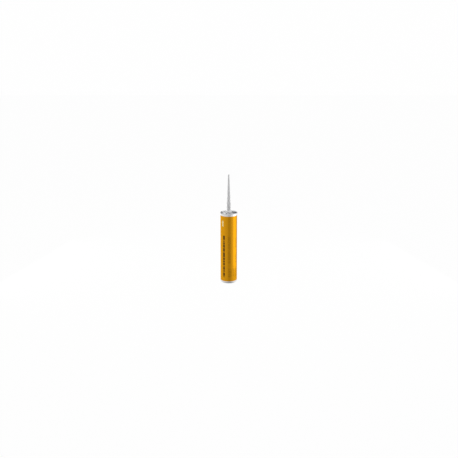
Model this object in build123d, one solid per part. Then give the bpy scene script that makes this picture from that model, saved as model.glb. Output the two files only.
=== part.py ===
from build123d import *
import os

# Gun cartridge of coating paste: a printed aluminium tube with a recessed end
# seamed to its top, a screw-on nozzle and a piston that is pushed up from below.
# Millimetres. The axis is Z, the foot stands at zero and the nozzle points up.

# Overall
body_height = 216.5
tube_diameter = 50.0
nozzle_reach = 114.5

# Sheet metal
tube_wall = 0.4
end_sheet = 0.35

# Double seam
seam_height = 3.2
seam_gap = 0.05
gasket_height = 0.5
hook_room = 0.5
hook_bend_share = 0.48
seam_bend_share = 0.35

# Foot of the tube
foot_lip = 2.4
foot_bend = 1.2

# Recessed end
panel_depth = 4.5
groove_depth = 2.0
groove_width = 2.2
groove_bend_share = 0.46
chuck_inset = 0.5
collar_height = 2.0
collar_bend_share = 0.4

# Screw neck
thread_diameter = 14.4
thread_depth = 0.8
neck_bore = 9.5
neck_rise = 8.0
neck_flange = 24.0
flange_thickness = 1.2
bead_rise = 0.25
bead_width = 0.8
neck_fit = 0.05
neck_mouth_round = 0.4

# Foil over the neck's mouth
foil_thickness = 0.1
foil_margin = 0.5

# Nozzle
nozzle_stand = 1.0
skirt_clearance = 0.3
skirt_wall = 1.1
nozzle_wall = 1.2
nozzle_seat = 0.2
stem_diameter = 11.4
stem_height = 23.0
shoulder_round = 0.9
ring_rise = 0.25
ring_width = 1.2
cone_diameter = 10.4
tip_diameter = 3.8
tip_hole = 2.0
grip_count = 24
grip_width = 1.0
grip_rise = 0.4
grip_margin = 0.8
grip_round_share = 0.4

# Piston
piston_height = 22.0
piston_rest = 20.0
piston_fit = 0.08
piston_wall = 1.8
crown_thickness = 2.0
lip_height = 4.0
lip_width = 0.9
lip_groove = 1.4
lip_groove_depth = 2.6
body_relief = 0.6
rear_band = 4.0
piston_edge = 0.4
rib_count = 8
rib_thickness = 1.2
rib_reach = 6.0
rib_drop = 11.0

# Coating
fill_gap = 0.05
fill_headroom = 0.3

# Places that several pieces share
outer_radius = tube_diameter / 2
bore_radius = outer_radius - tube_wall
panel_top = body_height - panel_depth
panel_underside = panel_top - end_sheet
collar_bore = thread_diameter / 2 + neck_fit
collar_top = panel_top + collar_height
neck_top = panel_top + neck_rise
skirt_bore = collar_bore + end_sheet + skirt_clearance
skirt_radius = skirt_bore + skirt_wall

# Places in the piston
crown_top = piston_rest + piston_height
crown_roof = crown_top - crown_thickness
lip_floor = crown_top - lip_groove_depth
cup_roof = lip_floor - crown_thickness
lip_radius = bore_radius - piston_fit
relief_radius = lip_radius - body_relief
cup_radius = relief_radius - piston_wall
lip_inner = lip_radius - lip_width
crown_edge = lip_inner - lip_groove
roof_edge = crown_edge - crown_thickness

# Layers of the seam, from the inside out, each at the middle of its sheet
chuck_radius = bore_radius - seam_gap - end_sheet / 2
wall_radius = bore_radius + tube_wall / 2
cover_hook_radius = outer_radius + seam_gap + end_sheet / 2
body_hook_radius = cover_hook_radius + end_sheet / 2 + seam_gap + tube_wall / 2
seam_wall_radius = body_hook_radius + tube_wall / 2 + seam_gap + end_sheet / 2

# Heights in the seam: the folds at the middle of the sheet, the gasket and the hooks' tips
seam_top = body_height - end_sheet / 2
seam_foot = body_height - seam_height + end_sheet / 2
flange_top = body_height - end_sheet - seam_gap - tube_wall / 2
flange_bend = hook_bend_share * (body_hook_radius - wall_radius)
gasket_top = flange_top - flange_bend
cover_hook_tip = gasket_top - gasket_height - seam_gap
body_hook_tip = seam_foot + end_sheet / 2 + hook_room


def formed_sheet(path, bends, thickness):
    """Sheet of one thickness along a bent path, turned about the axis."""
    with BuildPart() as sheet:
        with BuildSketch(Plane.XZ):
            with BuildLine():
                FilletPolyline(*path, radius=bends)
            trace(line_width=thickness)
        revolve(axis=Axis.Z)
    return sheet.part


def turned(corners):
    """Closed outline of (radius, height, rounding) corners, turned about the axis."""
    points = [(radius, height) for radius, height, rounding in corners]
    roundings = [rounding for radius, height, rounding in corners]
    with BuildPart() as piece:
        with BuildSketch(Plane.XZ):
            with BuildLine():
                FilletPolyline(*points, radius=roundings, close=True)
            make_face()
        revolve(axis=Axis.Z)
    return piece.part


def around_axis(piece, count):
    """Copies of a piece, evenly spaced about the axis."""
    turns = PolarLocations(0, count)
    return [turn * piece for turn in turns]


def make_tube():
    """Drawn tube: edge turned in at the foot, flange hooked over at the top."""
    foot_height = tube_wall / 2
    path = [
        (outer_radius - foot_lip, foot_height),
        (wall_radius, foot_height),
        (wall_radius, flange_top),
        (body_hook_radius, flange_top),
        (body_hook_radius, body_hook_tip),
    ]
    return formed_sheet(path, [foot_bend, flange_bend, flange_bend], tube_wall)


def make_end_disc():
    """Pressed end: neck collar, panel, groove, chuck wall and the seam's outer fold."""
    panel_height = panel_top - end_sheet / 2
    groove_floor = panel_height - groove_depth
    collar_radius = collar_bore + end_sheet / 2
    chuck_foot = chuck_radius - chuck_inset
    groove_inner = chuck_foot - groove_width
    collar_bend = collar_bend_share * collar_height
    groove_bend = groove_bend_share * min(groove_width, groove_depth)
    seam_bend = seam_bend_share * (seam_wall_radius - chuck_radius)
    hook_bend = hook_bend_share * (seam_wall_radius - cover_hook_radius)
    path = [
        (collar_radius, collar_top),
        (collar_radius, panel_height),
        (groove_inner, panel_height),
        (groove_inner, groove_floor),
        (chuck_foot, groove_floor),
        (chuck_radius, seam_top),
        (seam_wall_radius, seam_top),
        (seam_wall_radius, seam_foot),
        (cover_hook_radius, seam_foot),
        (cover_hook_radius, cover_hook_tip),
    ]
    bends = [collar_bend] + [groove_bend] * 3 + [seam_bend] * 2 + [hook_bend] * 2
    return formed_sheet(path, bends, end_sheet)


def make_seam_gasket():
    """Ring of sealing compound between the cover hook's tip and the tube's flange."""
    inner = cover_hook_radius - end_sheet / 2
    outer = cover_hook_radius + end_sheet / 2
    return turned([
        (inner, gasket_top - gasket_height, 0),
        (outer, gasket_top - gasket_height, 0),
        (outer, gasket_top, 0),
        (inner, gasket_top, 0),
    ])


def make_threaded_neck():
    """Moulded neck: flange under the panel, snap bead over the collar, thread core above."""
    bore = neck_bore / 2
    shank = thread_diameter / 2
    core = shank - thread_depth
    flange_foot = panel_underside - flange_thickness
    bead_foot = collar_top + neck_fit
    bead_top = bead_foot + bead_width
    return turned([
        (bore, flange_foot, 0),
        (neck_flange / 2, flange_foot, neck_mouth_round),
        (neck_flange / 2, panel_underside, 0),
        (shank, panel_underside, 0),
        (shank, bead_foot, 0),
        (shank + bead_rise, bead_foot, 0),
        (core, bead_top, 0),
        (core, neck_top, neck_mouth_round),
        (bore, neck_top, 0),
    ])


def make_neck_foil():
    """Foil disc sealed over the neck's mouth."""
    radius = thread_diameter / 2 - thread_depth - foil_margin
    with BuildPart() as foil:
        with BuildSketch(Plane.XY.offset(neck_top)):
            Circle(radius)
        extrude(amount=foil_thickness)
    return foil.part


def make_nozzle():
    """Hollow nozzle: ribbed screw skirt, stem, ring and long cone with an open tip."""
    stem = stem_diameter / 2
    cone = cone_diameter / 2
    skirt_foot = panel_top + nozzle_stand
    seat = neck_top + foil_thickness + nozzle_seat
    shoulder = seat + nozzle_wall
    ring_foot = shoulder + stem_height
    ring_top = ring_foot + ring_width
    tip = body_height + nozzle_reach
    body = turned([
        (skirt_bore, skirt_foot, 0),
        (skirt_radius, skirt_foot, 0),
        (skirt_radius, shoulder, shoulder_round),
        (stem, shoulder, shoulder_round),
        (stem, ring_foot, 0),
        (stem + ring_rise, ring_foot, 0),
        (stem + ring_rise, ring_top, 0),
        (cone, ring_top, 0),
        (tip_diameter / 2, tip, 0),
        (tip_hole / 2, tip, 0),
        (cone - nozzle_wall, ring_top, 0),
        (stem - nozzle_wall, ring_foot, 0),
        (stem - nozzle_wall, seat, 0),
        (skirt_bore, seat, 0),
    ])
    grips = around_axis(make_grip_rib(skirt_foot, shoulder), grip_count)
    return body.fuse(*grips)


def make_grip_rib(skirt_foot, shoulder):
    """One upright finger rib on the nozzle's skirt, rooted in its wall."""
    root = skirt_bore + skirt_wall / 2
    face = skirt_radius + grip_rise
    grip_round = grip_round_share * grip_width
    with BuildPart() as rib:
        with BuildSketch(Plane.XY.offset(skirt_foot)):
            with BuildLine():
                FilletPolyline(
                    (root, -grip_width / 2),
                    (face, -grip_width / 2),
                    (face, grip_width / 2),
                    (root, grip_width / 2),
                    radius=[0, grip_round, grip_round, 0],
                    close=True,
                )
            make_face()
        extrude(amount=shoulder - shoulder_round - grip_margin - skirt_foot)
    return rib.part


def make_piston():
    """Cup piston: wiper lip at the crown, relieved body, rear guide band, ribs inside."""
    body = turned([
        (0, crown_roof, 0),
        (roof_edge, crown_roof, 0),
        (cup_radius, cup_roof, 0),
        (cup_radius, piston_rest, piston_edge),
        (lip_radius, piston_rest, piston_edge),
        (lip_radius, piston_rest + rear_band, 0),
        (relief_radius, piston_rest + rear_band + body_relief, 0),
        (relief_radius, crown_top - lip_height - body_relief, 0),
        (lip_radius, crown_top - lip_height, 0),
        (lip_radius, crown_top, 0),
        (lip_radius - lip_width / 2, crown_top, 0),
        (lip_inner, lip_floor, 0),
        (crown_edge, lip_floor, 0),
        (crown_edge, crown_top, piston_edge),
        (0, crown_top, 0),
    ])
    ribs = around_axis(make_piston_rib(), rib_count)
    return body.fuse(*ribs)


def make_piston_rib():
    """One gusset between the piston's wall and its crown, rooted in both."""
    wall_root = cup_radius + piston_wall / 2
    crown_root = crown_roof + crown_thickness / 2
    with BuildPart() as rib:
        with BuildSketch(Plane.XZ):
            Polygon(
                (wall_root, cup_roof - rib_drop),
                (cup_radius, cup_roof - rib_drop),
                (cup_radius - rib_reach, crown_roof),
                (cup_radius - rib_reach, crown_root),
                (roof_edge, crown_root),
                (wall_root, cup_roof),
                align=None,
            )
        extrude(amount=rib_thickness / 2, both=True)
    return rib.part


def make_coating_fill():
    """The coating, from the piston's crown to just under the end's groove and neck."""
    fill_top = panel_underside - max(groove_depth, flange_thickness) - fill_headroom
    with BuildPart() as fill:
        with BuildSketch(Plane.XY.offset(crown_top)):
            Circle(bore_radius - fill_gap)
        extrude(amount=fill_top - crown_top)
    return fill.part


pieces = {
    "tube": make_tube(),
    "end_disc": make_end_disc(),
    "seam_gasket": make_seam_gasket(),
    "threaded_neck": make_threaded_neck(),
    "neck_foil": make_neck_foil(),
    "nozzle": make_nozzle(),
    "piston": make_piston(),
    "coating_fill": make_coating_fill(),
}

os.makedirs("parts", exist_ok=True)
for name, piece in pieces.items():
    export_step(piece, f"parts/{name}.step")
    print(name, len(piece.solids()), "solid", round(piece.volume), "cubic mm")
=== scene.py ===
# %% [markdown]
# # A coating cartridge, dressed around its solids
# The object is an aluminium gun cartridge: a drawn tube with an orange metallic print, a pressed
# end that is seamed into its top, a plastic neck and nozzle, and a piston that closes the rear.
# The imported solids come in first, as a frame that stays where it is. Every new piece is drawn
# in the same place, in metres, so nothing has to be fitted afterwards.

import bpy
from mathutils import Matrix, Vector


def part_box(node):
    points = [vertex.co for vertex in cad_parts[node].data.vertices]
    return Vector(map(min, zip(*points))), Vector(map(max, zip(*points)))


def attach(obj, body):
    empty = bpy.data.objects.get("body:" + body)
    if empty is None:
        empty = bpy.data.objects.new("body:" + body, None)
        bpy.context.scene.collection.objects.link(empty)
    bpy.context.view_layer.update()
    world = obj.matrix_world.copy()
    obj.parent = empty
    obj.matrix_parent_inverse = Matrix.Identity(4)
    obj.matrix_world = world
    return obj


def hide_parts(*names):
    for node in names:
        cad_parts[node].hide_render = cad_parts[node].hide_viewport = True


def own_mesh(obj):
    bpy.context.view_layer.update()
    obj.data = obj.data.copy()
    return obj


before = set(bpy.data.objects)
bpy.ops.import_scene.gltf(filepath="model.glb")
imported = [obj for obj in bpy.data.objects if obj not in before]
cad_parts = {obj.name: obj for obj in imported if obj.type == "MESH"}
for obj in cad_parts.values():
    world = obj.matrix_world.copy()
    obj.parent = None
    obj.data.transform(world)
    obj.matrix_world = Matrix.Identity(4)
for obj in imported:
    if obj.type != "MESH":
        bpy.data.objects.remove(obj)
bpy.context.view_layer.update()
print("solids:", sorted(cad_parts))

# %% [markdown]
# ## Heights from the frame
# A part like this is measured in millimetres, so the profiles below are written that way. A few
# heights are read from the solids, and each profile is drawn up or down from one of them.
# Numbers typed twice would drift apart; numbers read from the frame can't.

# %% Heights
MM = 0.001
body_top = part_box("end_disc")[1].z / MM
nozzle_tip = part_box("nozzle")[1].z / MM
piston_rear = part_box("piston")[0].z / MM
fill_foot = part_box("coating_fill")[0].z / MM
fill_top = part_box("coating_fill")[1].z / MM
print("tube", round(body_top, 2), "mm high, nozzle to", round(nozzle_tip, 2), "mm")

# %% [markdown]
# ## The camera
# The photograph looks slightly down at the upright cartridge from far away, so its sides stay
# almost parallel. A long distance with a medium lens gives that. The camera is turned towards
# a point on the axis with `to_track_quat`, which keeps it level without any guessing of angles.

# %% Camera
import math

import bmesh
import bpy
from mathutils import Vector

camera_rise = math.radians(15.0)
camera_distance = 2.2
camera_lens = 57.35
camera_aim = Vector((0.0008, 0.0, 0.1645))
towards_camera = Vector((0.0, -math.cos(camera_rise), math.sin(camera_rise)))

camera = bpy.data.objects.new("camera", bpy.data.cameras.new("camera"))
camera.data.lens = camera_lens
camera.data.sensor_width = 36.0
camera.location = camera_aim + towards_camera * camera_distance
camera.rotation_mode = "QUATERNION"
camera.rotation_quaternion = (-towards_camera).to_track_quat("-Z", "Y")
bpy.context.scene.collection.objects.link(camera)
bpy.context.scene.camera = camera
bpy.context.scene.view_settings.view_transform = "Standard"
print("camera at", [round(value, 3) for value in camera.location])

# %% [markdown]
# ## Small helpers for nodes
# A material is a graph. A few helpers keep the cells below short: one adds a node and fills its
# sockets, where a socket of another node makes a link and anything else is a plain value. The
# others add one step of arithmetic or one mix and hand back its result.

# %% Node helpers


def add_node(tree, kind, sockets=None, **settings):
    """Add a node, set its properties, then fill its sockets with links or values."""
    node = tree.nodes.new(kind)
    for name, value in settings.items():
        setattr(node, name, value)
    for name, value in (sockets or {}).items():
        if isinstance(value, bpy.types.NodeSocket):
            tree.links.new(value, node.inputs[name])
        else:
            node.inputs[name].default_value = value
    return node


def calc(tree, operation, first, second=None, clamp=False):
    """One step of arithmetic, as the socket that holds its result."""
    sockets = {0: first} if second is None else {0: first, 1: second}
    node = add_node(tree, "ShaderNodeMath", sockets, operation=operation, use_clamp=clamp)
    return node.outputs[0]


def mix_value(tree, factor, low, high):
    """A value that runs from low to high as the factor runs from nought to one."""
    node = add_node(tree, "ShaderNodeMix", {0: factor, 2: low, 3: high}, data_type="FLOAT")
    return node.outputs[0]


def mix_colour(tree, factor, low, high):
    """A colour that runs from low to high as the factor runs from nought to one."""
    node = add_node(tree, "ShaderNodeMix", {0: factor, 6: low, 7: high}, data_type="RGBA")
    return node.outputs[2]


def angle_round_axis(tree, place):
    """The place's angle round the axis from the front, in radians, and its height."""
    spot = add_node(tree, "ShaderNodeSeparateXYZ", {0: place})
    towards_front = calc(tree, "MULTIPLY", spot.outputs["Y"], -1.0)
    return calc(tree, "ARCTAN2", spot.outputs["X"], towards_front), spot.outputs["Z"]


print("node helpers ready")

# %% [markdown]
# ## The white stage
# A pack shot stands on white. The floor and the world show plain white to the camera and to
# mirror-like surfaces, which is what Light Path tells apart, while the light that falls on the
# object stays at an ordinary level. A small share of the floor's own shading is left in,
# so the object keeps its soft shadow where it stands.

# %% World
WHITE = (1.0, 1.0, 1.0, 1.0)
ambient_level = 0.34
backdrop_level = 0.995


def seen_directly(tree):
    """One for rays from the camera, from a glossy surface or through a clear one."""
    path = add_node(tree, "ShaderNodeLightPath")
    seen = calc(tree, "ADD", path.outputs["Is Camera Ray"], path.outputs["Is Glossy Ray"], True)
    return calc(tree, "ADD", seen, path.outputs["Is Transmission Ray"], True)


world = bpy.data.worlds.new("white_studio")
world.use_nodes = True
sky = world.node_tree
background = sky.nodes["Background"]
background.inputs["Color"].default_value = WHITE
sky_level = mix_value(sky, seen_directly(sky), ambient_level, backdrop_level)
sky.links.new(sky_level, background.inputs["Strength"])
bpy.context.scene.world = world
print("white world that lights at", ambient_level)

# %% [markdown]
# The floor could be a plain white plane, but then its shade would depend on every lamp. Mixing a
# matt floor with a white glow keeps it white and lets the shadow through. A helper links a
# piece of the stage with an empty material, because a screen follows below.

# %% Floor
floor_width = 14.0
floor_white_share = 0.98
floor_colour = (0.9, 0.9, 0.9, 1.0)


def stage_sheet(name, bm):
    """Link a bmesh as a piece of the stage, and hand it back with its material's nodes."""
    mesh = bpy.data.meshes.new(name)
    bm.to_mesh(mesh)
    bm.free()
    sheet = bpy.data.objects.new(name, mesh)
    bpy.context.scene.collection.objects.link(sheet)
    paint = bpy.data.materials.new(name)
    paint.use_nodes = True
    paint.node_tree.nodes.remove(paint.node_tree.nodes["Principled BSDF"])
    mesh.materials.append(paint)
    return sheet, paint.node_tree


floor_bm = bmesh.new()
bmesh.ops.create_grid(floor_bm, x_segments=1, y_segments=1, size=floor_width / 2)
floor, tree = stage_sheet("floor", floor_bm)
matt = add_node(tree, "ShaderNodeBsdfDiffuse", {"Color": floor_colour})
glow = add_node(tree, "ShaderNodeEmission", {"Color": WHITE, "Strength": 1.0})
share = calc(tree, "MULTIPLY", seen_directly(tree), floor_white_share)
both = add_node(tree, "ShaderNodeMixShader", {0: share, 1: matt.outputs[0], 2: glow.outputs[0]})
tree.links.new(both.outputs[0], tree.nodes["Material Output"].inputs["Surface"])
print(floor.name, floor_width, "m wide")

# %% [markdown]
# ## Soft light
# The metal has one broad glint on the right, so a low soft box stands there, and a narrower one
# behind gives the rear a glint of its own. The plastic is brightest at its two sides, which
# takes more light from both sides and from above; those lamps are kept out of the metal's
# reflections. A soft box is an area lamp, and its power is worked out from the brightness
# that its face should have.

# %% Lamps
low_aim = (0.0, 0.0, 0.11)
side_aim = (0.0, 0.0, 0.25)
high_aim = (0.0, 0.0, 0.2)


def soft_box(name, place, aim, width, height, brightness, in_mirrors):
    """A large rectangular lamp that faces a point, unseen by the camera itself."""
    lamp = bpy.data.lights.new(name, "AREA")
    lamp.shape = "RECTANGLE"
    lamp.size = width
    lamp.size_y = height
    lamp.energy = math.pi * width * height * brightness
    box = bpy.data.objects.new(name, lamp)
    box.location = place
    box.rotation_euler = (Vector(aim) - Vector(place)).to_track_quat("-Z", "Y").to_euler()
    box.visible_camera = False
    box.visible_glossy = in_mirrors
    bpy.context.scene.collection.objects.link(box)


# Name, place, aim, width, height, brightness, and whether mirrors show it
lamps = [
    ("right_box", (0.15, -0.0075, 0.11), low_aim, 0.135, 0.22, 0.55, True),
    ("back_box", (-0.0634, 0.136, 0.11), low_aim, 0.08, 0.22, 0.4, True),
    ("left_fill", (-0.6, 0.15, 0.35), side_aim, 0.6, 0.7, 1.8, False),
    ("right_fill", (0.6, 0.15, 0.35), side_aim, 0.6, 0.7, 1.5, False),
    ("top_fill", (0.0, -0.3, 1.1), high_aim, 0.8, 0.8, 1.5, False),
    ("front_fill", (0.0, -1.2, 0.9), high_aim, 1.0, 0.6, 0.3, False),
]
for lamp in lamps:
    soft_box(*lamp)
print("lamps:", [lamp[0] for lamp in lamps])

# %% [markdown]
# Metal shows what stands round it, and in the photograph it is dark in the middle. So a grey
# screen is curved round the cartridge: a sheet on the floor that turns up into a low wall, open
# on the right where the soft box stands, and a ring above it. Both are spun from a few
# vertices, and only mirror-like surfaces see them.

# %% Grey screen
screen_near = 0.024
screen_far = 0.26
screen_lift = 0.0003
ring_foot = 0.235
ring_top = 0.5
screen_start = math.radians(-205.0)
screen_end = math.radians(64.0)
screen_steps = 120
full_turn = 2 * math.pi


def curve_screen(bm, corners, sweep):
    """Spin a wire of (reach, rise) corners round the axis from the screen's start."""
    way = Vector((math.sin(screen_start), -math.cos(screen_start), 0.0))
    points = [bm.verts.new(way * reach + Vector((0, 0, rise))) for reach, rise in corners]
    edges = [bm.edges.new(pair) for pair in zip(points, points[1:])]
    bmesh.ops.spin(
        bm,
        geom=points + edges,
        cent=(0, 0, 0),
        axis=(0, 0, 1),
        angle=sweep,
        steps=screen_steps,
        use_merge=sweep == full_turn,
    )


screen_bm = bmesh.new()
low_wall = [(screen_near, screen_lift), (screen_far, screen_lift), (screen_far, ring_foot)]
curve_screen(screen_bm, low_wall, screen_end - screen_start)
curve_screen(screen_bm, [(screen_far, ring_foot), (screen_far, ring_top)], full_turn)
screen, tree = stage_sheet("grey_screen", screen_bm)
screen.visible_camera = False
screen.visible_shadow = False
screen.visible_diffuse = False
print(screen.name, len(screen.data.polygons), "faces")

# %% [markdown]
# The screen's greys follow the angle round the axis, from the front, in degrees. The low wall is dark
# in front and behind and white at the sides. The ring has almost black fields, which the inside of
# the metal end picks up at its left and right corners. Close to the foot the sheet carries a painted
# shadow in front, where the cartridge's own shadow would fall, and the foot mirrors it.

# %% Levels of grey
lower_greys = [
    (-205.0, 0.7),
    (-198.0, 0.42),
    (-172.0, 0.42),
    (-160.0, 0.8),
    (-143.0, 1.0),
    (-125.0, 1.0),
    (-60.0, 0.82),
    (-40.0, 0.74),
    (-9.0, 0.64),
    (-4.0, 0.48),
    (14.0, 0.5),
    (32.0, 0.66),
    (46.0, 0.84),
    (64.0, 1.0),
]
ring_greys = [
    (-205.0, 0.1),
    (-195.0, 0.1),
    (-185.0, 1.0),
    (-142.0, 1.0),
    (-132.0, 0.02),
    (-28.0, 0.02),
    (-14.0, 1.0),
    (20.0, 1.0),
    (32.0, 0.02),
    (50.0, 0.02),
    (60.0, 1.0),
    (100.0, 1.0),
    (115.0, 0.05),
    (155.0, 0.05),
]
# Painted shadow: darker greys in front of the foot, where the cartridge's own shadow would fall.
painted_foot_shadow = [
    (-205.0, 1.0),
    (-70.0, 1.0),
    (-40.0, 0.6),
    (-15.0, 0.15),
    (15.0, 0.15),
    (35.0, 0.5),
    (60.0, 1.0),
]
print(len(lower_greys), "greys below,", len(ring_greys), "on the ring,", len(painted_foot_shadow), "at the foot")

# %% [markdown]
# A colour ramp holds each list. It runs from nought to one, so the angle is counted from the
# screen's start as a share of a full turn. Height tells the ring from the wall, and distance
# from the axis tells the painted foot shadow from the rest.

# %% Greys on the screen
ring_blend = 0.02
painted_shadow_blend = 0.012
object_place = add_node(tree, "ShaderNodeTexCoord").outputs["Object"]
facing, height = angle_round_axis(tree, object_place)
from_start = calc(tree, "SUBTRACT", facing, screen_start)
from_start = calc(tree, "FLOORED_MODULO", from_start, full_turn)
turn = calc(tree, "DIVIDE", from_start, full_turn)


def grey_ramp(greys):
    """Greys at angles round the axis, as a socket that follows the screen."""
    ramp = add_node(tree, "ShaderNodeValToRGB", {0: turn})
    stops = ramp.color_ramp.elements
    while len(stops) < len(greys):
        stops.new(1.0)
    for stop, (angle, level) in zip(stops, greys):
        stop.position = (math.radians(angle) - screen_start) / full_turn
        stop.color = (level, level, level, 1.0)
    return ramp.outputs["Color"]


up_ring = calc(tree, "SUBTRACT", height, ring_foot)
on_ring = calc(tree, "DIVIDE", up_ring, ring_blend, True)
level_place = {0: object_place, 1: (1.0, 1.0, 0.0)}
on_floor = add_node(tree, "ShaderNodeVectorMath", level_place, operation="MULTIPLY")
reach = add_node(tree, "ShaderNodeVectorMath", {0: on_floor.outputs[0]}, operation="LENGTH")
# The painted shadow near the foot fades out with distance from the axis.
past_painted_shadow_start = calc(tree, "SUBTRACT", reach.outputs["Value"], screen_near)
out_of_painted_shadow = calc(tree, "DIVIDE", past_painted_shadow_start, painted_shadow_blend, True)
level = mix_value(tree, out_of_painted_shadow, grey_ramp(painted_foot_shadow), grey_ramp(lower_greys))
level = mix_value(tree, on_ring, level, grey_ramp(ring_greys))
grey = add_node(tree, "ShaderNodeEmission", {"Color": WHITE, "Strength": level})
tree.links.new(grey.outputs[0], tree.nodes["Material Output"].inputs["Surface"])
print("greys on", screen.name)

# %% [markdown]
# ## Turning a profile
# Nearly every piece of a cartridge is round, so each one starts as half of its section: a chain
# of corners in the XZ plane, with the radius to which each corner is bent. A vertex bevel
# rounds a corner of a bare wire, and `spin` turns the wire about the axis. A vertex bevel is
# told how far to step back from the corner, which for a bend of radius R between edges that meet
# at an angle a is R / tan(a / 2).

# %% Profile helpers
bend_segments = 5
merge_distance = 1e-7


def draw_profile(corners, base, closed):
    """Wire through (radius, height above the base, bend) corners, with its corners bent."""
    bm = bmesh.new()
    places = [Vector((radius * MM, 0.0, (base + height) * MM)) for radius, height, bend in corners]
    points = [bm.verts.new(place) for place in places]
    following = points[1:] + points[:1] if closed else points[1:]
    for start, end in zip(points, following):
        bm.edges.new((start, end))
    for place, (radius, height, bend) in zip(places, corners):
        if bend > 0:
            bend_corner(bm, place, bend * MM)
    return bm


def bend_corner(bm, place, bend):
    """Round the wire's corner at a place to the given radius."""
    corner = min(bm.verts, key=lambda vert: (vert.co - place).length)
    first, second = [edge.other_vert(corner).co - corner.co for edge in corner.link_edges]
    bmesh.ops.bevel(
        bm,
        geom=[corner],
        offset=bend / math.tan(first.angle(second) / 2),
        offset_type="OFFSET",
        affect="VERTICES",
        segments=bend_segments,
        profile=0.5,
        material=-1,
    )


def turn_profile(bm, steps):
    """Spin the wire once round the axis, close its poles and turn its faces outwards."""
    bmesh.ops.spin(
        bm,
        geom=bm.verts[:] + bm.edges[:],
        cent=(0, 0, 0),
        axis=(0, 0, 1),
        angle=full_turn,
        steps=steps,
        use_merge=True,
    )
    bmesh.ops.remove_doubles(bm, verts=bm.verts, dist=merge_distance)
    bmesh.ops.recalc_face_normals(bm, faces=bm.faces)
    return bm


print("profile helpers ready")

# %% [markdown]
# ## From bmesh to piece
# Every piece ends the same way: it becomes an object at the origin, a sheet gets its wall from
# Solidify, smooth shading is split at sharp edges, and the piece is told which body it rides on.
# Solidify is applied at once, so that what is shown is plain mesh.

# %% Piece helper
crease_angle = math.radians(35.0)


def make_piece(name, bm, body, node, sheet=0.0):
    """Turn a bmesh into a shown piece that stands for a node and rides on its body."""
    mesh = bpy.data.meshes.new(name)
    bm.to_mesh(mesh)
    bm.free()
    piece = bpy.data.objects.new(name, mesh)
    bpy.context.scene.collection.objects.link(piece)
    if sheet > 0:
        wall = piece.modifiers.new("wall", "SOLIDIFY")
        wall.thickness = sheet * MM
        wall.offset = 0.0
        wall.use_even_offset = True
        walled = piece.evaluated_get(bpy.context.evaluated_depsgraph_get())
        piece.data = bpy.data.meshes.new_from_object(walled)
        piece.modifiers.clear()
        piece.data.name = name
    piece.data.shade_smooth()
    piece.data.set_sharp_from_angle(angle=crease_angle)
    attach(piece, body)
    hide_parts(node)
    size = [round(length / MM, 2) for length in piece.dimensions]
    print(name, len(piece.data.polygons), "faces", size, "mm")
    return piece


print("piece helper ready")

# %% [markdown]
# ## Shared finishes
# Three effects are used by more than one material, so each is a node group with named sockets.
# A group is made once and placed in each material with its own values. One helper starts a
# group, and another makes noise that can be stretched along any axis.

# %% Group helpers
VECTOR = "NodeSocketVector"
NUMBER = "NodeSocketFloat"


def start_group(name, inputs, outputs):
    """A new group with inputs of given kinds and plain number outputs."""
    group = bpy.data.node_groups.new(name, "ShaderNodeTree")
    for label, kind in inputs.items():
        group.interface.new_socket(label, in_out="INPUT", socket_type=kind)
    for label in outputs:
        group.interface.new_socket(label, in_out="OUTPUT", socket_type=NUMBER)
    given = add_node(group, "NodeGroupInput").outputs
    result = add_node(group, "NodeGroupOutput").inputs
    return group, given, result


def scaled_noise(tree, place, scale, detail):
    """Noise on a place, scaled by one number or by a vector with its own size for each axis."""
    spot = add_node(tree, "ShaderNodeVectorMath", {0: place, 1: scale}, operation="MULTIPLY")
    sockets = {"Vector": spot.outputs[0], "Scale": 1.0, "Detail": detail}
    return add_node(tree, "ShaderNodeTexNoise", sockets).outputs["Fac"]


print("group helpers ready")

# %% [markdown]
# Rolled and drawn aluminium has fine lines along the way it was worked, and slight waves. Moulded
# plastic has a faint cloudy tone and a fine skin. Anything handled collects smudges that change
# its gloss. All three are noise: what differs is its scale, its stretch and its contrast.

# %% Worked metal, moulded skin and smudges
line_detail = 4.0
wave_detail = 1.0
worked_metal, given, result = start_group(
    "worked_metal", {"Place": VECTOR, "Grain": VECTOR, "Waviness": NUMBER}, ["Lines", "Waves"]
)
lines = scaled_noise(worked_metal, given["Place"], given["Grain"], line_detail)
waves = scaled_noise(worked_metal, given["Place"], given["Waviness"], wave_detail)
worked_metal.links.new(lines, result["Lines"])
worked_metal.links.new(waves, result["Waves"])

skin_detail = 2.0
moulded_skin, given, result = start_group(
    "moulded_skin", {"Place": VECTOR, "Cloud": NUMBER, "Grain": NUMBER}, ["Tone", "Skin"]
)
tone = scaled_noise(moulded_skin, given["Place"], given["Cloud"], skin_detail)
skin = scaled_noise(moulded_skin, given["Place"], given["Grain"], skin_detail)
moulded_skin.links.new(tone, result["Tone"])
moulded_skin.links.new(skin, result["Skin"])

smudge_detail = 6.0
smudge_start = 0.45
smudge_contrast = 4.0
smudges, given, result = start_group(
    "smudges", {"Place": VECTOR, "Size": NUMBER, "Amount": NUMBER}, ["Mask"]
)
patches = scaled_noise(smudges, given["Place"], given["Size"], smudge_detail)
lifted = calc(smudges, "SUBTRACT", patches, smudge_start)
lifted = calc(smudges, "MULTIPLY", lifted, smudge_contrast, True)
smudges.links.new(calc(smudges, "MULTIPLY", lifted, given["Amount"]), result["Mask"])
print("groups:", [group.name for group in bpy.data.node_groups])

# %% [markdown]
# Each material starts from the same few lines: a Principled shader whose constants are set on its
# own sockets, and the piece's Object coordinates. Everything that changes over the surface
# comes from a group and is linked in. Bump heights are in metres, so Strength and Distance stay 1.

# %% Material helpers


def start_material(name, **constants):
    """A material, its nodes, its Principled shader with constants set, and the coordinates."""
    material = bpy.data.materials.new(name)
    material.use_nodes = True
    tree = material.node_tree
    shader = tree.nodes["Principled BSDF"]
    for label, value in constants.items():
        shader.inputs[label.replace("_", " ").title()].default_value = value
    place = add_node(tree, "ShaderNodeTexCoord").outputs["Object"]
    return material, tree, shader, place


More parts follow.
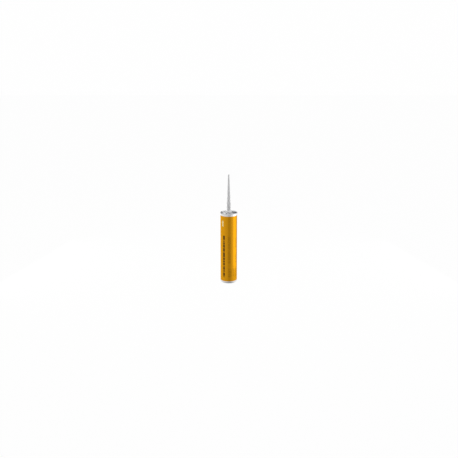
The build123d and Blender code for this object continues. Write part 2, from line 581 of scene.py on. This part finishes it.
def use_group(tree, group, **sockets):
    """Place a shared group in a material with its own values, and hand back its outputs."""
    named = {label.replace("_", " ").title(): value for label, value in sockets.items()}
    return add_node(tree, "ShaderNodeGroup", named, node_tree=group).outputs


def add_bump(tree, shader, height):
    """Drive the shader's normal from a height in metres."""
    sockets = {"Strength": 1.0, "Distance": 1.0, "Height": height}
    bump = add_node(tree, "ShaderNodeBump", sockets)
    tree.links.new(bump.outputs[0], shader.inputs["Normal"])


def shaded(colour, amount=1.0):
    """A colour made darker or brighter by one amount, with its alpha."""
    return tuple(amount * part for part in colour) + (1.0,)


print("material helpers ready")

# %% [markdown]
# ## The tube
# The body is drawn from one piece of thin aluminium. Its foot is turned in round the rear
# opening and its top is hooked outwards for the seam. Only the middle line of the sheet is drawn;
# Solidify gives it an even wall to both sides, which is how sheet metal behaves in a bend. Two
# plain corners mark where the print starts and stops.

# %% Tube
fine_steps = 160
tube_radius = 25.0
tube_wall = 0.4
foot_edge = 22.6
foot_bend = 1.2
hook_radius = 25.65
hook_top = body_top - 0.6
hook_tip = body_top - 2.35
hook_bend = 0.408
print_foot = 6.1
print_top = body_top - 7.7
wall_middle = tube_radius - tube_wall / 2
tube_path = [
    (foot_edge, tube_wall / 2, 0),
    (wall_middle, tube_wall / 2, foot_bend),
    (wall_middle, print_foot, 0),
    (wall_middle, print_top, 0),
    (wall_middle, hook_top, hook_bend),
    (hook_radius, hook_top, hook_bend),
    (hook_radius, hook_tip, 0),
]
tube_bm = turn_profile(draw_profile(tube_path, 0.0, closed=False), fine_steps)
tube = make_piece("printed_tube", tube_bm, "cartridge", "tube", tube_wall)

# %% [markdown]
# ## The print
# The tube is printed in a clear orange over bright metal, so it shines like tinted metal: the
# colour goes into Base Color while Metallic stays high, and a thin coat adds the lacquer's gloss.
# Words become plain bars. A bar is a box on the unrolled wall, measured along the arc and
# up the axis, and its group is placed once for each bar.

# %% Bars of print
bar_edge = 0.12
bar_sockets = ("Arc", "Height", "Arc Middle", "Arc Width", "Foot", "Top")
bar_inputs = {label: NUMBER for label in bar_sockets}
printed_bar, given, result = start_group("printed_bar", bar_inputs, ["Mask"])


def inside(tree, value, middle, width):
    """One within half a width of the middle, with a crisp but smooth edge."""
    away = calc(tree, "ABSOLUTE", calc(tree, "SUBTRACT", value, middle))
    room = calc(tree, "SUBTRACT", calc(tree, "MULTIPLY", width, 0.5), away)
    return calc(tree, "DIVIDE", room, bar_edge * MM, True)


ends = calc(printed_bar, "ADD", given["Foot"], given["Top"])
middle = calc(printed_bar, "MULTIPLY", ends, 0.5)
length = calc(printed_bar, "SUBTRACT", given["Top"], given["Foot"])
across = inside(printed_bar, given["Arc"], given["Arc Middle"], given["Arc Width"])
along = inside(printed_bar, given["Height"], middle, length)
printed_bar.links.new(calc(printed_bar, "MULTIPLY", across, along), result["Mask"])
print("bar group made")

# %% [markdown]
# Printed words are lines with gaps between them. No letters are drawn: at a distance they would be
# lines anyway. A row of separate bars could be typed in for every word, but noise along one bar
# does it at once: wherever the noise is low, the bar has a gap.

# %% Broken bars
title_words = 300.0
word_gap = 0.40
as_placed = (1.0, 1.0, 1.0)


def on_words(tree, height, which_line, scale):
    """One on the words of a line and nought in the gaps between them."""
    up_line = calc(tree, "MULTIPLY", height, scale)
    spot = add_node(tree, "ShaderNodeCombineXYZ", {0: up_line, 1: which_line})
    words = scaled_noise(tree, spot.outputs[0], as_placed, detail=0.0)
    return calc(tree, "GREATER_THAN", words, word_gap)


def whole_bar(tree, given):
    """The mask of a plain bar that fills the same field as the group round it."""
    sockets = {label: given[label] for label in bar_sockets}
    return add_node(tree, "ShaderNodeGroup", sockets, node_tree=printed_bar).outputs["Mask"]


broken_bar, given, result = start_group("broken_bar", bar_inputs, ["Mask"])
words = on_words(broken_bar, given["Height"], 0.0, title_words)
printed = calc(broken_bar, "MULTIPLY", words, whole_bar(broken_bar, given))
broken_bar.links.new(printed, result["Mask"])
print("broken bar group made")

# %% [markdown]
# Small print is a block of thin lines at an even pitch. Counted in pitches from the block's edge, the
# whole part says which line a point belongs to and the fraction says whether it is on the line or
# between two. The line's number also shifts the noise, so that each line has gaps of its own.

# %% Small print
small_words = 330.0
small_pitch = 1.9
small_share = 0.5
line_jump = 7.3
small_print, given, result = start_group("small_print", bar_inputs, ["Mask"])
half_width = calc(small_print, "MULTIPLY", given["Arc Width"], 0.5)
start = calc(small_print, "SUBTRACT", given["Arc Middle"], half_width)
from_start = calc(small_print, "SUBTRACT", given["Arc"], start)
steps = calc(small_print, "DIVIDE", from_start, small_pitch * MM)
on_line = calc(small_print, "LESS_THAN", calc(small_print, "FRACT", steps), small_share)
which_line = calc(small_print, "MULTIPLY", calc(small_print, "FLOOR", steps), line_jump)
words = on_words(small_print, given["Height"], which_line, small_words)
printed = calc(small_print, "MULTIPLY", on_line, words)
printed = calc(small_print, "MULTIPLY", printed, whole_bar(small_print, given))
small_print.links.new(printed, result["Mask"])
print("small print group made")

# %% [markdown]
# The print's layout is written as plain numbers: the angle from the front of the tube, in degrees,
# the width, and the foot and top of each field, in millimetres. The wrapped print overlaps itself
# in a thin line at the back.

# %% Layout of the print
title_angle = -35.2
title_width = 6.3
title_spans = [(136.0, 149.4), (56.5, 134.2), (42.0, 54.8), (35.0, 40.4), (18.5, 33.4)]
white_field = (-45.5, 6.4, 177.0, 194.5)
overlap_line = (180.0, 2.4, print_foot, print_top)
text_blocks = [
    (4.0, 9.0, 63.0, 148.0),
    (8.5, 12.0, 19.0, 47.0),
    (35.0, 3.0, 21.0, 46.0),
    (56.0, 4.0, 110.0, 142.0),
    (56.0, 4.0, 63.0, 88.0),
    (56.0, 4.0, 19.0, 44.0),
    (88.0, 16.0, 63.0, 142.0),
    (88.0, 16.0, 19.0, 44.0),
    (131.0, 14.0, 63.0, 142.0),
    (131.0, 14.0, 19.0, 44.0),
    (-152.0, 10.0, 63.0, 148.0),
    (-152.0, 10.0, 19.0, 47.0),
    (-112.0, 14.0, 84.0, 148.0),
    (-112.0, 14.0, 19.0, 70.0),
]
print("print:", len(title_spans), "broken bars and", len(text_blocks), "blocks")

# %% [markdown]
# Now the groups are placed in the tube's material, one for each field. Where fields of one kind
# lie beside each other, the strongest mask is kept, so the order in which they are placed
# doesn't matter.

# %% Masks of the print
lacquer_edge = (0.85, 0.72, 0.15, 1.0)
printed_metal, tree, shader, place = start_material(
    "printed_metal", coat_weight=0.1, coat_roughness=0.12, specular_tint=lacquer_edge
)
facing, height = angle_round_axis(tree, place)
arc = calc(tree, "MULTIPLY", facing, tube_radius * MM)


def add_print(group, angle, width, foot, top):
    """Place a bar or a block on the unrolled wall and hand back its mask."""
    return use_group(
        tree,
        group,
        arc=arc,
        height=height,
        arc_middle=math.radians(angle) * tube_radius * MM,
        arc_width=width * MM,
        foot=foot * MM,
        top=top * MM,
    )["Mask"]


def strongest(masks):
    """The largest of several masks."""
    found = masks[0]
    for mask in masks[1:]:
        found = calc(tree, "MAXIMUM", found, mask)
    return found


title = strongest([add_print(broken_bar, title_angle, title_width, *span) for span in title_spans])
small = strongest([add_print(small_print, *block) for block in text_blocks])
panel = add_print(printed_bar, *white_field)
overlap = add_print(printed_bar, *overlap_line)
print("masks placed in", printed_metal.name)

# %% [markdown]
# The colours are then laid over each other as inks are: orange on metal, a darker overlap, dark
# print, and one opaque pale field. Opaque ink hides the metal, so it also lowers Metallic. The
# drawn metal's upright lines show through the clear orange as a slight change of tone.

# %% Inks
orange_ink = (0.735, 0.325, 0.005)
thin_ink = 0.94
thick_ink = 1.06
dark_ink = (0.035, 0.015, 0.004)
white_ink = (0.9, 0.69, 0.3)
small_strength = 0.42
overlap_strength = 0.3
dark_cover = 0.95
dark_flatness = 0.4
drawn_grain = (2600.0, 2600.0, 40.0)
drawn_waviness = 45.0
metal = use_group(tree, worked_metal, place=place, grain=drawn_grain, waviness=drawn_waviness)
colour = mix_colour(
    tree, metal["Lines"], shaded(orange_ink, thin_ink), shaded(orange_ink, thick_ink)
)
shadow = calc(tree, "MULTIPLY", overlap, overlap_strength)
colour = mix_colour(tree, shadow, colour, shaded(dark_ink))
dark = calc(tree, "MAXIMUM", title, calc(tree, "MULTIPLY", small, small_strength))
colour = mix_colour(tree, calc(tree, "MULTIPLY", dark, dark_cover), colour, shaded(dark_ink))
colour = mix_colour(tree, panel, colour, shaded(white_ink))
tree.links.new(colour, shader.inputs["Base Color"])
flat_ink = calc(tree, "MAXIMUM", panel, calc(tree, "MULTIPLY", dark, dark_flatness))
tree.links.new(calc(tree, "SUBTRACT", 1.0, flat_ink), shader.inputs["Metallic"])
print("inks on", printed_metal.name)

# %% [markdown]
# The lacquer is smooth, but hands dull it in patches and the lines of drawing roughen it. Slight
# waves in the thin wall bend the reflections a little, which a perfect cylinder wouldn't do.

# %% Lacquer
lacquer_smooth = 0.19
lacquer_smudged = 0.27
line_roughness = 0.06
wave_height = 0.0001
line_height = 0.0000015
marks = use_group(tree, smudges, place=place, size=50.0, amount=0.5)
rough = mix_value(tree, marks["Mask"], lacquer_smooth, lacquer_smudged)
rough = calc(tree, "ADD", rough, calc(tree, "MULTIPLY", metal["Lines"], line_roughness))
tree.links.new(rough, shader.inputs["Roughness"])
waves = calc(tree, "MULTIPLY", metal["Waves"], wave_height)
lines = calc(tree, "MULTIPLY", metal["Lines"], line_height)
add_bump(tree, shader, calc(tree, "ADD", waves, lines))
tube.data.materials.append(printed_metal)
print("printed finish on", tube.name)

# %% [markdown]
# ## The pressed end
# The end is one disc of thin sheet. From the middle outwards it has a short collar for the neck,
# a flat panel, a groove, a tall wall and the outer fold of the double seam, which hooks round the
# tube's flange. The whole path is drawn as one wire, so the folds run into each other as
# they do in the real seam. Heights are counted from the top of the seam.

# %% Pressed end
end_wall = 0.35
collar_radius = 7.425
collar_bend = 0.8
groove_inner = 21.675
groove_outer = 23.875
groove_bend = 0.92
chuck_radius = 24.375
seam_radius = 26.075
seam_bend = 0.595
cover_hook = 25.225
panel_height = -4.675
groove_height = -6.675
seam_fold = -end_wall / 2
seam_foot = -3.025
collar_top = -2.5
cover_hook_tip = -1.558
end_path = [
    (collar_radius, collar_top, 0),
    (collar_radius, panel_height, collar_bend),
    (groove_inner, panel_height, groove_bend),
    (groove_inner, groove_height, groove_bend),
    (groove_outer, groove_height, groove_bend),
    (chuck_radius, seam_fold, seam_bend),
    (seam_radius, seam_fold, seam_bend),
    (seam_radius, seam_foot, hook_bend),
    (cover_hook, seam_foot, hook_bend),
    (cover_hook, cover_hook_tip, 0),
]
end_bm = turn_profile(draw_profile(end_path, body_top, closed=False), fine_steps)
end_disc = make_piece("pressed_end", end_bm, "cartridge", "end_disc", end_wall)

# %% [markdown]
# The end and the unprinted bands of the tube are bare aluminium, so one function makes both. The
# end keeps the straight grain of the rolled sheet and a satin face from the press; the tube's
# bands keep the upright lines of drawing and are brighter.

# %% Bare aluminium
pressed_metal = (0.80, 0.802, 0.808)
drawn_metal = (0.84, 0.842, 0.848)
dull_line = 0.95
bright_line = 1.05
rolled_grain = (60.0, 2400.0, 2400.0)
bare_wave_height = 0.00006


def bare_aluminium(name, colour, grain, waviness, smooth, smudged):
    """Bare sheet with fine lines from its working, smudges in its gloss and slight waves."""
    material, tree, shader, place = start_material(name, metallic=1.0)
    metal = use_group(tree, worked_metal, place=place, grain=grain, waviness=waviness)
    marks = use_group(tree, smudges, place=place, size=70.0, amount=0.6)
    shade = mix_colour(tree, metal["Lines"], shaded(colour, dull_line), shaded(colour, bright_line))
    tree.links.new(shade, shader.inputs["Base Color"])
    rough = mix_value(tree, marks["Mask"], smooth, smudged)
    rough = calc(tree, "ADD", rough, calc(tree, "MULTIPLY", metal["Lines"], line_roughness))
    tree.links.new(rough, shader.inputs["Roughness"])
    add_bump(tree, shader, calc(tree, "MULTIPLY", metal["Waves"], bare_wave_height))
    return material


pressed_aluminium = bare_aluminium(
    "pressed_aluminium", pressed_metal, rolled_grain, waviness=80.0, smooth=0.24, smudged=0.34
)
drawn_aluminium = bare_aluminium(
    "drawn_aluminium", drawn_metal, drawn_grain, drawn_waviness, smooth=0.18, smudged=0.28
)
end_disc.data.materials.append(pressed_aluminium)
print("bare metal on", end_disc.name)

# %% [markdown]
# The tube has two finishes. Its faces are told which one they take by where they are: the outside
# between the two printed edges keeps the first material, and all other faces get the second.

# %% Bare bands of the tube
tube.data.materials.append(drawn_aluminium)
for face in tube.data.polygons:
    outside = face.center.xy.length > wall_middle * MM
    printed = outside and print_foot * MM < face.center.z < print_top * MM
    face.material_index = 0 if printed else 1
bare_faces = sum(face.material_index for face in tube.data.polygons)
print("bare metal on", bare_faces, "of the tube's faces")

# %% [markdown]
# ## The sealing ring
# A bead of sealing compound sits inside the seam, where no view reaches it. Its solid already has
# the right shape, so it stays as it is and only gets a rubbery finish.

# %% Sealing ring
dark_rubber = (0.12, 0.13, 0.14)
pale_rubber = (0.2, 0.21, 0.22)
rubber_smooth = 0.6
rubber_rough = 0.8
compound, tree, shader, place = start_material("sealing_rubber")
skin = use_group(tree, moulded_skin, place=place, cloud=400.0, grain=5000.0)
colour = mix_colour(tree, skin["Tone"], shaded(dark_rubber), shaded(pale_rubber))
tree.links.new(colour, shader.inputs["Base Color"])
rough = mix_value(tree, skin["Skin"], rubber_smooth, rubber_rough)
tree.links.new(rough, shader.inputs["Roughness"])
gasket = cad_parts["seam_gasket"]
gasket.data.materials.clear()
gasket.data.materials.append(compound)
print("rubber finish on", gasket.name)

# %% [markdown]
# ## Moulded plastics
# The neck, the nozzle and the piston are all moulded, so one function makes their plastics from
# the shared group: a base colour with a faint cloudy tone, a gloss that smudges break up, and a
# fine skin as bump. A little subsurface light softens the thin walls. Where a piece sits down in
# the metal recess, a paler colour can fade in below a height. This is painted light that stands in
# for the light the recess bounces onto it.

# %% Plastic finish
cloud_dark = 0.97
cloud_pale = 1.03
skin_grain = 2400.0
skin_height = 0.000002
smudge_dulling = 0.14
painted_bounce_blend = 3.0
light_share = 0.08
light_reach = (0.002, 0.002, 0.002)


def moulded_plastic(name, colour, roughness, cloud, painted_bounce_colour=None, painted_bounce_top=0.0):
    """A moulded plastic with a cloudy tone and uneven gloss, and painted light below a height if asked.
    """
    material, tree, shader, place = start_material(
        name, subsurface_weight=light_share, subsurface_radius=light_reach
    )
    skin = use_group(tree, moulded_skin, place=place, cloud=cloud, grain=skin_grain)
    marks = use_group(tree, smudges, place=place, size=90.0, amount=0.6)
    tone = mix_colour(tree, skin["Tone"], shaded(colour, cloud_dark), shaded(colour, cloud_pale))
    if painted_bounce_colour is not None:
        # Painted light: a paler colour below the height stands in for light bounced round the metal
        # recess.
        height = add_node(tree, "ShaderNodeSeparateXYZ", {0: place}).outputs["Z"]
        below = calc(tree, "SUBTRACT", painted_bounce_top * MM, height)
        thick = calc(tree, "DIVIDE", below, painted_bounce_blend * MM, True)
        tone = mix_colour(tree, thick, tone, shaded(painted_bounce_colour))
    tree.links.new(tone, shader.inputs["Base Color"])
    gloss = mix_value(tree, marks["Mask"], roughness, roughness + smudge_dulling)
    tree.links.new(gloss, shader.inputs["Roughness"])
    add_bump(tree, shader, calc(tree, "MULTIPLY", skin["Skin"], skin_height))
    return material


print("plastic finish ready")

# %% [markdown]
# ## Threads
# A thread is a small closed section that `spin` carries round and up at once: `dvec` is the rise
# for each step. Its first and last stretch are eased back into the core, as a mould does it,
# because a thread that stops dead would leave a sharp step.

# %% Thread helpers
thread_steps = 60
thread_pitch = 2.4
ease_steps = 12
least_rise = 0.05


def wind_thread(bm, section, base, turns, root):
    """Wind a closed section of (radius, height above the base) corners round the axis."""
    steps = round(turns * thread_steps)
    points = [bm.verts.new((radius * MM, 0.0, (base + height) * MM)) for radius, height in section]
    edges = [bm.edges.new(pair) for pair in zip(points, points[1:] + points[:1])]
    made = bmesh.ops.spin(
        bm,
        geom=points + edges,
        cent=(0, 0, 0),
        axis=(0, 0, 1),
        dvec=(0, 0, thread_pitch * MM / thread_steps),
        angle=turns * full_turn,
        steps=steps,
    )
    last = [item for item in made["geom_last"] if isinstance(item, bmesh.types.BMVert)]
    bmesh.ops.contextual_create(bm, geom=points)
    bmesh.ops.contextual_create(bm, geom=last)
    ease_thread(points, steps, root * MM)
    bmesh.ops.recalc_face_normals(bm, faces=bm.faces)


def ease_thread(points, steps, root):
    """Draw the first and last sections of a wound thread back to its root radius."""
    wound = set(points)
    front = set(points)
    for step in range(steps + 1):
        share = max(least_rise, min(1.0, step / ease_steps, (steps - step) / ease_steps))
        for vert in front:
            outwards = vert.co.xy.normalized()
            vert.co.xy = outwards * (root + (vert.co.xy.length - root) * share)
        beyond = {edge.other_vert(vert) for vert in front for edge in vert.link_edges}
        front = beyond - wound
        wound |= front


print("thread helpers ready")

# %% [markdown]
# ## The screw neck
# The moulded neck clips into the collar of the end: a wide flange stays below the sheet and a
# small bead snaps out above it. Its body is a closed profile, turned once, and the thread is
# wound round it.

# %% Neck
neck_steps = 96
neck_bore = 4.75
neck_core = 6.4
neck_top = 3.5
clip_radius = 7.2
flange_radius = 12.0
flange_foot = -6.05
flange_top = -4.85
bead_radius = 7.45
bead_foot = -2.45
bead_top = -1.65
thread_root = 6.3
thread_crest = 7.2
neck_outline = [
    (neck_bore, flange_foot, 0),
    (flange_radius, flange_foot, 0.4),
    (flange_radius, flange_top, 0),
    (clip_radius, flange_top, 0),
    (clip_radius, bead_foot, 0),
    (bead_radius, bead_foot, 0.1),
    (neck_core, bead_top, 0.25),
    (neck_core, neck_top, 0.4),
    (neck_bore, neck_top, 0.25),
]
neck_thread = [
    (thread_root, -1.5),
    (thread_crest, -1.05),
    (thread_crest, -0.6),
    (thread_root, -0.15),
]
neck_bm = turn_profile(draw_profile(neck_outline, body_top, closed=True), neck_steps)
wind_thread(neck_bm, neck_thread, body_top, turns=1.4, root=thread_root)
neck = make_piece("screw_neck", neck_bm, "cartridge", "threaded_neck")
neck_white = (0.70, 0.70, 0.69)
neck_plastic = moulded_plastic("neck_plastic", neck_white, roughness=0.38, cloud=120.0)
neck.data.materials.append(neck_plastic)

# %% [markdown]
# ## The foil seal
# A thin foil closes the neck until the first use. It could be a plain disc, but the tool that seals
# it leaves a pressed ring over the neck's edge, so the disc is turned from a profile that has
# this ring with its low crest.

# %% Foil seal
foil_steps = 72
foil_radius = 5.9
foil_top = 3.6
pressed_top = 3.56
crest_radius = 5.55
crest_top = 3.58
pressed_inner = 5.0
field_radius = 4.6
foil_outline = [
    (0.0, neck_top, 0),
    (foil_radius, neck_top, 0),
    (foil_radius, pressed_top, 0),
    (crest_radius, crest_top, 0),
    (pressed_inner, pressed_top, 0),
    (field_radius, foil_top, 0),
    (0.0, foil_top, 0),
]
foil_bm = turn_profile(draw_profile(foil_outline, body_top, closed=True), foil_steps)
foil = make_piece("foil_seal", foil_bm, "cartridge", "neck_foil")

# %% [markdown]
# Foil is aluminium too, so its finish comes from the same group as the other metal. Its grain is the
# same in all directions, and the waves are small and steep: as bump they look like crinkles.

# %% Foil finish
dull_foil = (0.74, 0.74, 0.75)
bright_foil = (0.86, 0.86, 0.87)
foil_smooth = 0.2
foil_rough = 0.36
foil_grain = (900.0, 900.0, 900.0)
crinkle_height = 0.0003
foil_metal, tree, shader, place = start_material("sealing_foil", metallic=1.0)
metal = use_group(tree, worked_metal, place=place, grain=foil_grain, waviness=600.0)
colour = mix_colour(tree, metal["Lines"], shaded(dull_foil), shaded(bright_foil))
tree.links.new(colour, shader.inputs["Base Color"])
rough = mix_value(tree, metal["Lines"], foil_smooth, foil_rough)
tree.links.new(rough, shader.inputs["Roughness"])
add_bump(tree, shader, calc(tree, "MULTIPLY", metal["Waves"], crinkle_height))
foil.data.materials.append(foil_metal)
print("foil finish on", foil.name)

# %% [markdown]
# ## The nozzle
# The nozzle screws on over the neck: a ribbed skirt, a short stem with a ring, and a long hollow
# cone that is cut to size before use. The hollow shell is one closed profile, up the outside
# and back down through the bore. It is turned in as many steps as the ribs will need.

# %% Nozzle shell
rib_count = 24
faces_per_pitch = 10
faces_per_rib = 4
skirt_radius = 9.0
skirt_bore = 7.9
skirt_foot = -3.5
skirt_roof = 3.8
rib_top = 3.3
shoulder = 5.0
shoulder_bend = 1.6
stem_radius = 5.7
stem_bore = 4.5
stem_top = 28.0
stem_ring = 5.95
cone_foot = 29.2
cone_radius = 5.2
cone_bore = 4.0
tip_radius = 1.9
tip_bore = 1.0
tip_height = nozzle_tip - body_top
nozzle_outline = [
    (skirt_bore, skirt_foot, 0.15),
    (skirt_radius, skirt_foot, 0),
    (skirt_radius, rib_top, 0),
    (skirt_radius, shoulder, shoulder_bend),
    (stem_radius, shoulder, 0.9),
    (stem_radius, stem_top, 0),
    (stem_ring, stem_top, 0.1),
    (stem_ring, cone_foot, 0.15),
    (cone_radius, cone_foot, 0.15),
    (tip_radius, tip_height, 0.2),
    (tip_bore, tip_height, 0.15),
    (cone_bore, cone_foot, 0),
    (stem_bore, stem_top, 0),
    (stem_bore, skirt_roof, 0.3),
    (skirt_bore, skirt_roof, 0.3),
]
nozzle_steps = rib_count * faces_per_pitch
nozzle_bm = turn_profile(draw_profile(nozzle_outline, body_top, closed=True), nozzle_steps)
print("nozzle shell of", len(nozzle_bm.faces), "faces")

# %% [markdown]
# Finger ribs could be separate bars set on the skirt, but then they would cut into it. Instead
# narrow columns of the skirt's own faces are extruded outwards, so the ribs grow from the
# wall itself, and their upright edges are bevelled.

# %% Finger ribs
rib_rise = 0.4
rib_round = 0.16
wall_tolerance = 0.02
upright_edge = math.radians(45.0)


def on_rib(face):
    """True for the skirt's outer faces that lie under a rib."""
    spot = face.calc_center_median()
    on_wall = abs(spot.xy.length - skirt_radius * MM) < wall_tolerance * MM
    beside = (body_top + skirt_foot) * MM < spot.z < (body_top + rib_top) * MM
    pitch = full_turn / rib_count
    turn = (math.atan2(spot.y, spot.x) % pitch) / pitch
    return on_wall and beside and turn < faces_per_rib / faces_per_pitch


rib_faces = [face for face in nozzle_bm.faces if on_rib(face)]
raised = bmesh.ops.extrude_face_region(nozzle_bm, geom=rib_faces)
bmesh.ops.delete(nozzle_bm, geom=rib_faces, context="FACES_ONLY")
crests = {item for item in raised["geom"] if isinstance(item, bmesh.types.BMVert)}
swell = (skirt_radius + rib_rise) / skirt_radius
bmesh.ops.scale(nozzle_bm, vec=(swell, swell, 1.0), verts=list(crests))
crest_edges = [
    edge
    for edge in nozzle_bm.edges
    if set(edge.verts) <= crests and edge.calc_face_angle(0.0) > upright_edge
]
bmesh.ops.bevel(
    nozzle_bm,
    geom=crest_edges,
    offset=rib_round * MM,
    affect="EDGES",
    segments=2,
    profile=0.5,
    material=-1,
)
print(len(rib_faces), "skirt faces raised for", rib_count, "ribs")

# %% [markdown]
# The skirt has a thread inside that turns on the neck's. Its section points inwards, and the same
# helper winds it. The skirt sits in the metal recess and is painted paler than the cone: painted
# light for what the recess bounces onto it.

# %% Nozzle's thread and finish
inner_root = 8.0
inner_crest = 7.35
inner_thread = [(inner_root, -0.4), (inner_crest, -0.1), (inner_crest, 0.2), (inner_root, 0.5)]
wind_thread(nozzle_bm, inner_thread, body_top, turns=1.2, root=inner_root)
nozzle = make_piece("screw_nozzle", nozzle_bm, "nozzle", "nozzle")
cone_white = (0.70, 0.70, 0.705)
# Painted light: the skirt's paler colour stands in for light bounced round the metal recess.
painted_bounce_white = (0.88, 0.88, 0.885)
painted_bounce_height = 7.0
nozzle_plastic = moulded_plastic(
    "nozzle_plastic",
    cone_white,
    roughness=0.34,
    cloud=80.0,
    painted_bounce_colour=painted_bounce_white,
    painted_bounce_top=body_top + painted_bounce_height,
)
nozzle.data.materials.append(nozzle_plastic)

# %% [markdown]
# ## The piston
# A plastic cup closes the rear and is pushed up by the gun. It has a thin wiper lip at its crown,
# a relieved body, a guide band at the rear and gussets inside. The cup is a turned profile, and
# its radii step inwards from the tube's bore, so it would follow a wider tube.

# %% Piston cup
piston_steps = 128
bore_radius = tube_radius - tube_wall
lip_radius = bore_radius - 0.08
lip_edge = lip_radius - 0.45
lip_inner = lip_radius - 0.9
lip_floor = 19.4
lip_foot = 18.0
band_top = 4.0
relief_foot = 4.6
relief_radius = lip_radius - 0.6
cup_radius = relief_radius - 1.8
cup_shoulder = 17.4
crown_radius = lip_inner - 1.4
crown_top = 22.0
roof_radius = crown_radius - 2.0
roof_height = 20.0
piston_outline = [
    (0.0, roof_height, 0),
    (roof_radius, roof_height, 0.4),
    (cup_radius, cup_shoulder, 0.6),
    (cup_radius, 0.0, 0.4),
    (lip_radius, 0.0, 0.4),
    (lip_radius, band_top, 0.15),
    (relief_radius, relief_foot, 0.15),
    (relief_radius, cup_shoulder, 0.15),
    (lip_radius, lip_foot, 0.15),
    (lip_radius, crown_top, 0.12),
    (lip_edge, crown_top, 0.12),
    (lip_inner, lip_floor, 0.3),
    (crown_radius, lip_floor, 0.3),
    (crown_radius, crown_top, 0.4),
    (0.0, crown_top, 0),
]
piston_bm = turn_profile(draw_profile(piston_outline, piston_rear, closed=True), piston_steps)
print("piston cup of", len(piston_bm.faces), "faces")

# %% [markdown]
# A gusset stiffens the cup between its wall and its roof. One is drawn as a flat face that reaches
# a little into the wall, extruded to its thickness, and its long free edges are rounded.

# %% One gusset
gusset_thickness = 1.2
gusset_round = 0.25
gusset_root = 23.0
gusset_heel = 20.2
gusset_foot = 6.4
gusset_reach = cup_radius - 6.0
gusset_top = 21.0
gusset_outline = [
    (gusset_root, gusset_foot),
    (cup_radius, gusset_foot),
    (gusset_reach, roof_height),
    (gusset_reach, gusset_top),
    (gusset_heel, gusset_top),
    (gusset_root, cup_shoulder),
]
gusset_bm = bmesh.new()
corners = [
    gusset_bm.verts.new((radius * MM, -gusset_thickness / 2 * MM, (piston_rear + height) * MM))
    for radius, height in gusset_outline
]
side = gusset_bm.faces.new(corners)
thick = bmesh.ops.extrude_face_region(gusset_bm, geom=[side])
far_side = [item for item in thick["geom"] if isinstance(item, bmesh.types.BMVert)]
bmesh.ops.translate(gusset_bm, vec=(0.0, gusset_thickness * MM, 0.0), verts=far_side)
bmesh.ops.recalc_face_normals(gusset_bm, faces=gusset_bm.faces)
slanted = max(edge.calc_length() for edge in gusset_bm.edges)
free_edges = [edge for edge in gusset_bm.edges if edge.calc_length() > slanted - merge_distance]
bmesh.ops.bevel(
    gusset_bm,
    geom=free_edges,
    offset=gusset_round * MM,
    affect="EDGES",
    segments=2,
    profile=0.5,
    material=-1,
)
print("gusset of", len(gusset_bm.faces), "faces")

# %% [markdown]
# A spin that duplicates copies the gusset round the axis. It stops one step short of the full turn,
# because the first gusset is already there. The ring of gussets then joins the cup's mesh.

# %% Gussets in the cup
gusset_count = 8
bmesh.ops.spin(
    gusset_bm,
    geom=gusset_bm.verts[:] + gusset_bm.edges[:] + gusset_bm.faces[:],
    cent=(0, 0, 0),
    axis=(0, 0, 1),
    angle=full_turn * (gusset_count - 1) / gusset_count,
    steps=gusset_count - 1,
    use_duplicate=True,
)
gusset_mesh = bpy.data.meshes.new("gussets")
gusset_bm.to_mesh(gusset_mesh)
gusset_bm.free()
piston_bm.from_mesh(gusset_mesh)
bpy.data.meshes.remove(gusset_mesh)
bmesh.ops.recalc_face_normals(piston_bm, faces=piston_bm.faces)
piston = make_piece("cup_piston", piston_bm, "piston", "piston")
piston_grey = (0.62, 0.63, 0.63)
piston_plastic = moulded_plastic("piston_plastic", piston_grey, roughness=0.42, cloud=100.0)
piston.data.materials.append(piston_plastic)

# %% [markdown]
# ## The coating
# The paste fills the space between the piston's crown and the pressed end. As the piston goes up
# the paste leaves through the nozzle. Here its body is turned once between the heights read from
# the frame, and it gets a mesh of its own.

# %% Coating
fill_steps = 96
fill_radius = bore_radius - 0.05
fill_bend = 0.2
fill_outline = [
    (0.0, fill_foot, 0),
    (fill_radius, fill_foot, fill_bend),
    (fill_radius, fill_top, fill_bend),
    (0.0, fill_top, 0),
]
fill_bm = turn_profile(draw_profile(fill_outline, 0.0, closed=True), fill_steps)
coating = make_piece("coating_paste", fill_bm, "cartridge", "coating_fill")
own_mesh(coating)

# %% [markdown]
# The paste is an off-white compound with fine filler in it, so its tone is cloudy and its skin is
# coarser than that of a moulded plastic. The same group makes both.

# %% Paste finish
dark_paste = (0.62, 0.61, 0.58)
pale_paste = (0.72, 0.71, 0.68)
paste_smooth = 0.45
paste_rough = 0.65
paste_skin_height = 0.00008
paste, tree, shader, place = start_material("coating_paste")
skin = use_group(tree, moulded_skin, place=place, cloud=150.0, grain=1200.0)
colour = mix_colour(tree, skin["Tone"], shaded(dark_paste), shaded(pale_paste))
tree.links.new(colour, shader.inputs["Base Color"])
rough = mix_value(tree, skin["Skin"], paste_smooth, paste_rough)
tree.links.new(rough, shader.inputs["Roughness"])
add_bump(tree, shader, calc(tree, "MULTIPLY", skin["Skin"], paste_skin_height))
coating.data.materials.append(paste)
print("paste finish on", coating.name)
